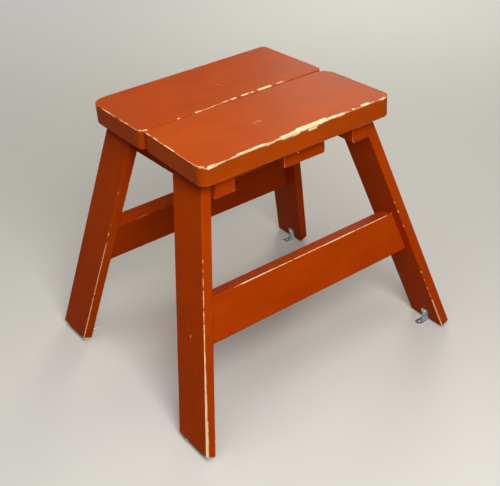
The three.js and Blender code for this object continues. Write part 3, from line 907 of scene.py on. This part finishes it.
def leg_plane(side):
    """The inner face of the legs on one side, moved in by the joint gap, as a plane"""
    normal = Vector((side, 0, SIDE_SPLAY_SHARE)).normalized()
    return Vector((side * leg_inner_x(0), 0, 0)) - normal * JOINT_GAP, normal


def make_leg(name, seed):
    side, end = CORNERS[name]
    up = Vector((-side * SIDE_SPLAY_SHARE, -end * END_SPLAY_SHARE, 1)).normalized()
    outward = Vector((side, 0, SIDE_SPLAY_SHARE)).normalized()
    across = outward.cross(up)
    outer = -side * end
    middle = Vector((side * LEG_TOP_X, end * LEG_TOP_Y, UNDERSIDE)) - across * outer * LEG_WIDTH / 2
    matrix = frame_at(middle, up, across, outward)
    low = (LEG_BLANK_SHARES[0] * UNDERSIDE, -LEG_WIDTH / 2, -LEG_THICKNESS)
    high = (LEG_BLANK_SHARES[1] * UNDERSIDE, LEG_WIDTH / 2, 0)
    cuts = [(Vector((0, 0, UNDERSIDE - JOINT_GAP)), UPWARD), (foot_point(side, 0), foot_down(side))]
    edges = {"outer": outer * LEG_WIDTH / 2, "inner": -outer * LEG_WIDTH / 2}
    faces = {"outer": 0, "inner": -LEG_THICKNESS}
    wear = [((edges[e], faces[f]), patches) for (leg, e, f), patches in LEG_WEAR.items() if leg == name]
    node = "leg_" + name
    return straight_timber(node, matrix, low, high, cuts, LEG_ARRIS, wear, 0, seed)


def make_rail(name, end, seed):
    outward = Vector((0, end, END_SPLAY_SHARE)).normalized()
    along = Vector((1, 0, 0))
    up = outward.cross(along)
    top_y = leg_edge_y(RAIL_HEIGHT) - INNER_FACE_SHIFT_Y - RAIL_SETBACK
    matrix = frame_at(Vector((0, end * top_y, RAIL_HEIGHT)), along, up, outward)
    down = -1 if up.z > 0 else 1
    edge = sorted((0, down * RAIL_WIDTH))
    length = leg_outer_x(0)
    low = (-length, edge[0], -RAIL_THICKNESS)
    high = (length, edge[1], 0)
    cuts = [leg_plane(-1), leg_plane(1)]
    faces = {"outer": 0, "inner": -RAIL_THICKNESS}
    wear = [((0, faces[f]), patches) for (rail, f), patches in RAIL_WEAR.items() if rail == name]
    start = -leg_inner_x(RAIL_HEIGHT)
    node = "rail_" + name
    return straight_timber(node, matrix, low, high, cuts, LEG_ARRIS, wear, start, seed, RAIL_END_RUB)


def make_batten(name, seed):
    node = "batten_" + name
    low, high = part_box(node)
    side = BATTENS[name]
    cuts = [leg_plane(side)] if side else []
    matrix = frame_at(Vector((0, 0, low.z)), Vector((0, 1, 0)), Vector((-1, 0, 0)), UPWARD)
    surplus = side * SAW_SURPLUS
    corner = (low.y, -high.x - max(surplus, 0), 0)
    opposite = (high.y, -low.x - min(surplus, 0), high.z - low.z)
    return straight_timber(node, matrix, corner, opposite, cuts, BATTEN_ARRIS, [], 0, seed, BATTEN_END_RUB)


# Screws
def level_or_upright_screw(node):
    """Where a countersunk screw's head face is, which way it looks, and the screw's length"""
    low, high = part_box(node)
    centre = (low + high) / 2
    size = high - low
    if node.startswith("seat_screw"):
        return Vector((centre.x, centre.y, low.z)), Vector((0, 0, -1)), size.z
    side = 1 if centre.x > 0 else -1
    x = high.x if side > 0 else low.x
    return Vector((x, centre.y, centre.z)), Vector((side, 0, 0)), size.x


def screw_profile(length, growth, lift):
    shank, head = SCREW_SHANK_RADIUS + growth, SCREW_HEAD_RADIUS + growth
    return [
        (0, -length - growth), (shank, SCREW_TIP_LENGTH - length), (shank, SCREW_CONE_BOTTOM),
        (head, -SCREW_RIM_HEIGHT), (head, lift), (0, lift),
    ]


def threaded_screw(length, filler_height):
    """A countersunk wood screw with a helical thread below the head and any filler over it"""
    thread_top = SCREW_CONE_BOTTOM - THREAD_START
    profile = [
        (0, filler_height), (SCREW_HEAD_RADIUS * FILLER_SHARE, filler_height),
        (SCREW_HEAD_RADIUS, -FILLER_SEAM_DEPTH), (SCREW_HEAD_RADIUS, -SCREW_RIM_HEIGHT),
        (SCREW_SHANK_RADIUS, SCREW_CONE_BOTTOM),
    ]
    step = THREAD_PITCH / THREAD_STEPS
    count = int((length + thread_top) / step)
    profile += [(SCREW_SHANK_RADIUS, thread_top - step * i) for i in range(count)]
    profile += [(0, -length)]
    bm = turned(profile[::-1], SCREW_SIDES)
    for v in bm.verts:
        depth = thread_top - v.co.z
        if depth <= 0 or v.co.xy.length < TINY:
            continue
        turn = math.atan2(v.co.y, v.co.x) / (2 * math.pi)
        phase = (depth / THREAD_PITCH + turn) % 1
        crest = max(0.0, 1 - abs(phase - 0.5) * 2 / THREAD_CREST_SHARE)
        taper = min(1.0, (length + thread_top - depth) / SCREW_TIP_LENGTH)
        radius = (SCREW_SHANK_RADIUS - THREAD_DEPTH * (1 - crest)) * max(SCREW_POINT_SHARE, taper)
        v.co.xy = v.co.xy.normalized() * radius
    return bm


def cut_recess(screw, matrix, depth):
    """Cuts the driver's cross in a screw's head, whose face is at z = 0"""
    arm, web = RECESS_SPAN / 2, RECESS_WIDTH / 2
    quarter = [(arm, -web), (arm, web), (web, web)]
    turns = [Matrix.Rotation(i * math.pi / 2, 2) for i in range(4)]
    cross = [turn @ Vector(point) for turn in turns for point in quarter]
    bm = extruded(cross, -depth, RECESS_DEPTH)
    for v in bm.verts:
        if v.co.z < 0:
            v.co.xy *= RECESS_TAPER_SHARE
    recess = joined_cutter([(bm, matrix)])
    cut_out(screw, recess)
    discard(recess)


def joined_cutter(solids):
    """One cutter from several (bmesh, matrix) solids"""
    whole = bmesh.new()
    for bm, matrix in solids:
        bm.transform(matrix)
        mesh = mesh_from("part", bm)
        whole.from_mesh(mesh)
        bpy.data.meshes.remove(mesh)
    return add_object("cutter", mesh_from("cutter", whole))


def discard(cutter):
    mesh = cutter.data
    bpy.data.objects.remove(cutter)
    bpy.data.meshes.remove(mesh)


# The timber
boards = [
    seat_board("front", {-1: FRONT_BOARD_FRONT_WEAR, 1: FRONT_BOARD_REAR_WEAR}),
    seat_board("rear", {-1: REAR_BOARD_FRONT_WEAR, 1: REAR_BOARD_REAR_WEAR}),
]
legs = [make_leg(name, SEEDS["legs"] + i) for i, name in enumerate(CORNERS)]
rails = [make_rail("front", -1, SEEDS["front_rail"]), make_rail("rear", 1, SEEDS["rear_rail"])]
battens = [make_batten(name, SEEDS["battens"] + i) for i, name in enumerate(BATTENS)]


# Holes for the screws, cut out of the timber they pass through
def make_countersunk_screws():
    bores = []
    # The filled screw heads take the frame paint, with the painted shade it carries
    painted = painted_wood("screw_paint", SEEDS["screws"], None, FRAME_PAINT_AND_SHADE, FRAME_ROUGHNESS)
    for node in sorted(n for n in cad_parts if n.startswith(("leg_screw", "rail_screw", "seat_screw"))):
        place, outward, length = level_or_upright_screw(node)
        matrix = facing(place, outward)
        bore = screw_profile(length, SCREW_CLEARANCE, SCREW_BORE_LIFT)
        bores.append((turned(bore, BORE_SIDES), matrix))
        filled = not node.startswith("seat_screw")
        bm = threaded_screw(length, FILLER_HEIGHT if filled else 0)
        if filled:
            normal = Vector((outward.x, 0, SIDE_SPLAY_SHARE)).normalized()
            point = Vector((outward.x * leg_outer_x(0), 0, 0)) - normal * FILLER_DIP
            saw_in_place(bm, matrix, point, normal)
        screw = place_piece(node + "_turned", bm, matrix, painted, "zinc", node)
        if not filled:
            cut_recess(screw, matrix, PAINTED_RECESS_DEPTH)
        soften(screw)
    return bores


# Corner braces: a flat strip along +X, bent up about the middle, with its outer face at z = 0
def brace_frame(side, end):
    x = side * (leg_inner_x(0) - JOINT_GAP * LEAN_PER_HEIGHT)
    y = end * (leg_edge_y(0) - INNER_FACE_SHIFT_Y - BRACE_PLACE_SHARES[end] * LEG_SPAN_Y)
    inward = Vector((-side, 0, 0))
    return frame_at(Vector((x, y, 0)), inward, UPWARD.cross(inward), UPWARD)


BRACE_BEND = math.pi / 2 + LEG_LEAN
BRACE_RISE = Vector((math.sin(LEG_LEAN), 0, math.cos(LEG_LEAN)))
BRACE_AWAY = Vector((math.cos(LEG_LEAN), 0, -math.sin(LEG_LEAN)))
BRACE_HOLE_REACH = BRACE_FLANGE - BRACE_HOLE_INSET
BRACE_TANGENT = BRACE_OUTSIDE_RADIUS * math.tan(BRACE_BEND / 2)
BRACE_HALF_ARC = BRACE_OUTSIDE_RADIUS * BRACE_BEND / 2


def bent(place):
    """From the flat strip to the brace: the floor flange lies along +X, the other rises against the leg"""
    arc = min(1.0, max(-1.0, place.x / BRACE_HALF_ARC))
    beyond = place.x - arc * BRACE_HALF_ARC
    turn = BRACE_BEND * (1 - arc) / 2
    along = Vector((math.cos(turn), 0, -math.sin(turn)))
    away = Vector((math.sin(turn), 0, math.cos(turn)))
    hub = Vector((BRACE_TANGENT, 0, BRACE_OUTSIDE_RADIUS))
    point = hub - away * (BRACE_OUTSIDE_RADIUS - place.z) + along * beyond
    return Vector((point.x, place.y, point.z))


def brace_strip():
    reach = BRACE_FLANGE - BRACE_TANGENT + BRACE_HALF_ARC
    half = Vector((reach, BRACE_WIDTH / 2, 0))
    round_ends = {corner: BRACE_CORNER_RADIUS for corner in CORNERS.values()}
    return extruded(corner_outline(-half, half, round_ends, BRACE_OUTLINE_SPACING), 0, BRACE_THICKNESS)


def make_brace(name, metal):
    side, end = CORNERS[name]
    matrix = brace_frame(side, end)
    node = "brace_" + name
    brace = place_piece("bent_" + node, brace_strip(), Matrix.Identity(4), metal, "zinc", node)
    reach = BRACE_HOLE_REACH - BRACE_TANGENT + BRACE_HALF_ARC
    profile = rod_profile(BRACE_HOLE_RADIUS, -BRACE_THICKNESS, 2 * BRACE_THICKNESS)
    holes = [Matrix.Translation((s * reach, 0, 0)) for s in (-1, 1)]
    drills = joined_cutter([(turned(profile, BRACE_SIDES), hole) for hole in holes])
    cut_out(brace, drills)
    discard(drills)
    bm = bmesh.new()
    bm.from_mesh(brace.data)
    merge_close(bm)
    sharp = [e for e in bm.edges if len(e.link_faces) == 2 and e.calc_face_angle() > SHARP_ANGLE]
    round_edges(bm, sharp, BRACE_ARRIS, FINE_ARRIS_STEPS)
    bend_lines = grid_lines(-BRACE_HALF_ARC, BRACE_HALF_ARC, BRACE_HALF_ARC / ROUND_STEPS)
    score(bm, 0, bend_lines + [-BRACE_HALF_ARC, BRACE_HALF_ARC])
    merge_close(bm)
    for v in bm.verts:
        v.co = matrix @ bent(v.co)
    bmesh.ops.recalc_face_normals(bm, faces=bm.faces[:])
    bm.to_mesh(brace.data)
    bm.free()
    shade_smooth(brace.data)
    soften(brace)


def make_brace_screw(name, metal):
    """A round-headed screw through the brace's upright flange; z = 0 is the underside of its head"""
    side, end = CORNERS[name]
    seat = BRACE_RISE * BRACE_HOLE_REACH + BRACE_AWAY * (BRACE_THICKNESS + JOINT_GAP)
    matrix = brace_frame(side, end) @ facing(seat, BRACE_AWAY)
    tip = BRACE_SCREW_LENGTH - BRACE_SCREW_TIP_LENGTH
    profile = [(0, -BRACE_SCREW_LENGTH), (BRACE_SCREW_SHANK_RADIUS, -tip), (BRACE_SCREW_SHANK_RADIUS, 0)]
    bore = turned([(r + SCREW_CLEARANCE if r else 0, z) for r, z in profile] + [(0, 0)], BORE_SIDES)
    profile += dome_profile(BRACE_SCREW_HEAD_RADIUS, BRACE_SCREW_HEAD_HEIGHT)
    node = "brace_screw_" + name
    screw = place_piece(node + "_turned", turned(profile, BRACE_SIDES), matrix, metal, "zinc", node)
    cut_recess(screw, matrix @ Matrix.Translation((0, 0, BRACE_SCREW_HEAD_HEIGHT)), RECESS_DEPTH)
    soften(screw)
    return bore, matrix


# Glides: z = 0 is the face against the foot, the nail runs up from it and the dome hangs below
def make_glide(name, index, share, plastic):
    side, end = CORNERS[name]
    seat = foot_point(side, end * (FOOT_EDGE_Y - share * LEG_SPAN_Y)) + foot_down(side) * JOINT_GAP
    matrix = facing(seat, -foot_down(side))
    rim = (FOOT_MIDDLE_Z - GLIDE_RADIUS * math.sin(FOOT_SLOPE)) / math.cos(FOOT_SLOPE)
    profile = [(0, NAIL_LENGTH), (NAIL_RADIUS, NAIL_LENGTH - NAIL_TIP_LENGTH), (NAIL_RADIUS, 0)]
    bore = [(r + SCREW_CLEARANCE if r else 0, z) for r, z in profile[:2]]
    bore += [(NAIL_RADIUS + SCREW_CLEARANCE, -GLIDE_DOME), (0, -GLIDE_DOME)]
    for step in range(GLIDE_ARRIS_STEPS + 1):
        turn = math.pi / 2 * step / GLIDE_ARRIS_STEPS
        inset = GLIDE_ARRIS * (1 - math.sin(turn))
        profile.append((GLIDE_RADIUS - inset, -GLIDE_ARRIS * (1 - math.cos(turn))))
    profile += [(r, -rim - z) for r, z in dome_profile(GLIDE_RADIUS, GLIDE_DOME)]
    bm = turned(profile, GLIDE_SIDES)
    bm.transform(matrix)
    saw(bm, Vector((0, 0, 0)), Vector((0, 0, -1)))
    node = f"glide_{name}_{index + 1}"
    soften(place_piece(node + "_worn", bm, Matrix.Identity(4), plastic, "glide_plastic", node))
    return turned(bore, BORE_SIDES), matrix


screw_bores = make_countersunk_screws()
zinc = zinc_plate("zinc_plate", SEEDS["zinc"])
plastic = glide_plastic("glide_plastic", SEEDS["glides"])
for corner in CORNERS:
    make_brace(corner, zinc)
    screw_bores.append(make_brace_screw(corner, zinc))
    for index, share in enumerate(GLIDE_PLACE_SHARES[corner]):
        screw_bores.append(make_glide(corner, index, share, plastic))
nail_hole = turned(rod_profile(NAIL_HOLE_RADIUS, -NAIL_HOLE_DEPTH, NAIL_HOLE_DEPTH), BORE_SIDES)
nail_place = Vector((NAIL_HOLE_X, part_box("batten_right")[0].y, NAIL_HOLE_Z))
screw_bores.append((nail_hole, facing(nail_place, FRONTWARD)))
screw_cutter = joined_cutter(screw_bores)
for timber in boards + legs + rails + battens:
    cut_out(timber, screw_cutter)
    soften(timber)
discard(screw_cutter)


# Camera, light and floor
def make_camera():
    forward = Vector((math.sin(CAMERA_YAW) * math.cos(CAMERA_PITCH),
                      math.cos(CAMERA_YAW) * math.cos(CAMERA_PITCH), -math.sin(CAMERA_PITCH)))
    level = Vector((math.cos(CAMERA_YAW), -math.sin(CAMERA_YAW), 0))
    above = level.cross(forward)
    right = math.cos(CAMERA_ROLL) * level + math.sin(CAMERA_ROLL) * above
    up = math.cos(CAMERA_ROLL) * above - math.sin(CAMERA_ROLL) * level
    data = bpy.data.cameras.new("camera")
    data.sensor_width = SENSOR_WIDTH
    data.lens = CAMERA_FOCAL_PIXELS / PHOTO_WIDTH * SENSOR_WIDTH
    camera = add_object("camera", data)
    camera.matrix_world = frame_at(CAMERA_PLACE, right, up, -forward)
    bpy.context.scene.camera = camera


def make_softbox(name, place, target, size, power, colour):
    data = bpy.data.lights.new(name, "AREA")
    data.shape = "RECTANGLE"
    data.size = size
    data.size_y = size
    data.energy = power
    data.color = colour
    lamp = add_object(name, data)
    lamp.location = place
    lamp.rotation_mode = "QUATERNION"
    lamp.rotation_quaternion = (Vector(target) - Vector(place)).to_track_quat("-Z", "Y")


def make_floor():
    bm = bmesh.new()
    bmesh.ops.create_grid(bm, x_segments=1, y_segments=1, size=40)
    mesh = mesh_from("floor", bm)
    material, tree, surface, place = new_material("pale_floor")
    cloud = mottle(tree, place, size=0.4, seed=SEEDS["floor"], detail=3)
    tone = blend_colours(tree, cloud, tuple(FLOOR_DARK_SHARE * c for c in FLOOR_COLOUR), FLOOR_COLOUR)
    shown = seen_directly(tree)
    tree.links.new(blend_colours(tree, shown, BOUNCE_COLOUR, tone), surface.inputs["Base Color"])
    surface.inputs["Roughness"].default_value = 0.7
    from_stool = shade(tree, "VectorMath", {0: place}, operation="LENGTH").outputs["Value"]
    far = ramp_up(tree, from_stool, GLOW_START, GLOW_END)
    glow = reckon(tree, "MULTIPLY", shown, spread(tree, far, 0, FAR_FLOOR_GLOW))
    surface.inputs["Emission Color"].default_value = (*SKY_COLOUR, 1)
    tree.links.new(glow, surface.inputs["Emission Strength"])
    mesh.materials.append(material)
    floor = add_object("floor", mesh)


def seen_directly(tree):
    """1 for what the camera sees, also in a reflection or through glass, and 0 for light on the object"""
    rays = shade(tree, "LightPath", {}).outputs
    seen = reckon(tree, "MAXIMUM", rays["Is Camera Ray"], rays["Is Glossy Ray"])
    return reckon(tree, "MAXIMUM", seen, rays["Is Transmission Ray"])


def make_world():
    world = bpy.data.worlds.new("studio")
    bpy.context.scene.world = world
    world.use_nodes = True
    tree = world.node_tree
    shown = seen_directly(tree)
    background = tree.nodes["Background"]
    tree.links.new(spread(tree, shown, AMBIENT_STRENGTH, SKY_STRENGTH), background.inputs["Strength"])
    tree.links.new(blend_colours(tree, shown, AMBIENT_COLOUR, SKY_COLOUR), background.inputs["Color"])


make_camera()
make_world()
make_floor()
for name, lamp in SOFTBOXES.items():
    make_softbox(name, *lamp)

bpy.context.scene.view_settings.view_transform = "Standard"
